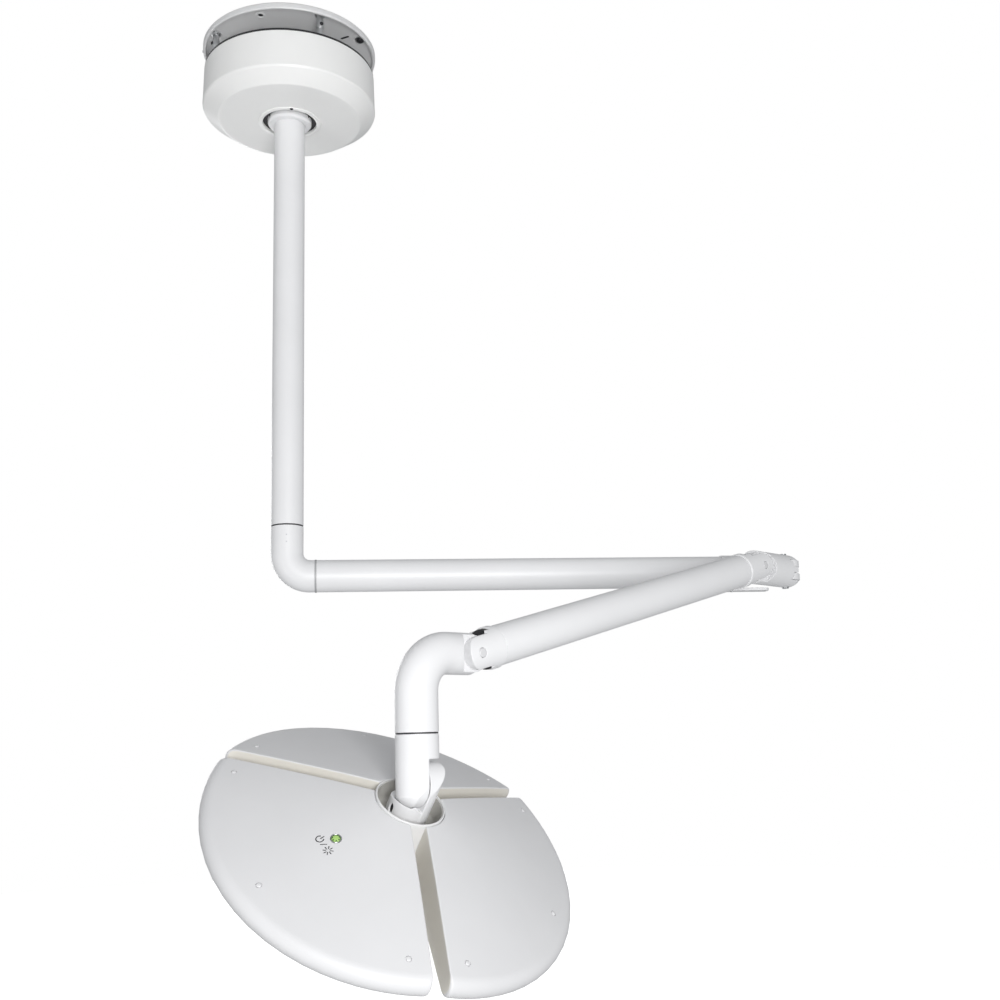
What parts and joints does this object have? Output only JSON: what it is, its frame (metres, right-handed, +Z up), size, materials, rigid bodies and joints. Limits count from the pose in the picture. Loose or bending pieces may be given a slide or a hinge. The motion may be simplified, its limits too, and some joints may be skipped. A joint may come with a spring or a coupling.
{
  "type": "dental operating light",
  "caption": "Ceiling-mounted dental operating light: canopy, drop tube, swing arm, sprung balance arm and a tilting round LED head in three petal housings around a hub.",
  "frame": {"origin": "centre of the ceiling plate's top face, which lies against the ceiling", "axes": "+Z up into the ceiling, +X along the swing arm in its stored pose, so the balance arm folds back towards -Y"},
  "size_m": [1.0625, 0.8317, 1.5416],
  "materials": {
    "white_paint": "semi-gloss white powder coat",
    "white_plastic": "satin white moulding",
    "steel": "turned",
    "aluminium": "satin",
    "bronze": "plain bearing bronze",
    "black_plastic": "fine texture",
    "circuit_green": "solder resist",
    "clear_cover": "clear",
    "grey_cap": "satin, sterilisable",
    "green_button": "translucent, lit from behind"
  },
  "bodies": {
    "mount": {"ceiling_plate": "white_paint", "mount_socket": "aluminium", "canopy_post_1": "steel", "canopy_post_2": "steel", "canopy_post_3": "steel", "canopy_post_4": "steel", "canopy_cover": "white_plastic", "canopy_ring": "white_plastic", "tube_collar": "white_paint", "driver_box": "aluminium", "terminal_block": "black_plastic", "drop_tube": "white_paint", "upper_spindle": "steel"},
    "swing_arm": {"upper_elbow": "white_paint", "upper_bush": "bronze", "swing_arm_tube": "white_paint", "arm_end_fork": "white_paint", "stop_plate": "white_paint"},
    "knuckle": {"knuckle": "white_paint", "swing_pin": "steel"},
    "balance_arm": {"upper_fork": "white_paint", "balance_tube": "white_paint", "lower_fork": "white_paint", "balance_spring": "steel", "spring_rod": "steel", "upper_hinge_pin": "steel"},
    "lower_elbow": {"lower_elbow": "white_paint", "lower_hinge_pin": "steel", "lower_bush": "bronze"},
    "yoke": {"yoke_tube": "white_paint", "tilt_pin": "steel", "friction_disc": "bronze", "lower_spindle": "steel"},
    "head": {"head_bracket": "white_paint", "bracket_bolt": "steel", "hub_body": "white_plastic", "hub_bottom_cover": "white_plastic", "handle_socket": "steel", "sterile_handle": "grey_cap", "petal_cover_a": "white_plastic", "petal_cover_b": "white_plastic", "petal_cover_c": "white_plastic", "petal_carrier_a": "aluminium", "petal_carrier_b": "aluminium", "petal_carrier_c": "aluminium", "led_board_a": "circuit_green", "led_board_b": "circuit_green", "led_board_c": "circuit_green", "lens_panel_a": "clear_cover", "lens_panel_b": "clear_cover", "lens_panel_c": "clear_cover", "button_bezel": "black_plastic", "control_board": "circuit_green"},
    "power_button": {"push_button": "green_button"}
  },
  "joints": [
    {"name": "arm_swing", "type": "hinge", "parent": "mount", "child": "swing_arm", "pos_m": [0, 0, -0.9791], "axis": [0, 0, 1], "range_deg": [-170, 170]},
    {"name": "knuckle_swing", "type": "hinge", "parent": "swing_arm", "child": "knuckle", "pos_m": [0.879, 0, -0.9791], "axis": [0, 0, 1], "range_deg": [0, 210]},
    {"name": "balance_tilt", "type": "hinge", "parent": "knuckle", "child": "balance_arm", "pos_m": [0.79866, -0.05954, -0.9791], "axis": [0.5954, -0.8034, 0], "range_deg": [-46, 31]},
    {"name": "elbow_level", "type": "hinge", "parent": "balance_arm", "child": "lower_elbow", "pos_m": [0.25733, -0.46068, -1.14759], "axis": [0.5954, -0.8034, 0], "range_deg": [-31.5, 46.5]},
    {"name": "lamp_turn", "type": "hinge", "parent": "lower_elbow", "child": "yoke", "pos_m": [0.18462, -0.51456, -1.24819], "axis": [0, 0, 1], "range_deg": [-165, 165]},
    {"name": "lamp_tilt", "type": "hinge", "parent": "yoke", "child": "head", "pos_m": [0.18462, -0.51456, -1.31059], "axis": [0.8568, 0.5156, 0], "range_deg": [-59, 20]},
    {"name": "power_press", "type": "slide", "parent": "head", "child": "power_button", "axis": [-0.0742, 0.707, -0.7033], "range_m": [0, 0.0015], "stiffness_N_per_m": 800}
  ],
  "couplings": [
    {"joint": "elbow_level", "follows": "balance_tilt", "ratio": -1}
  ]
}
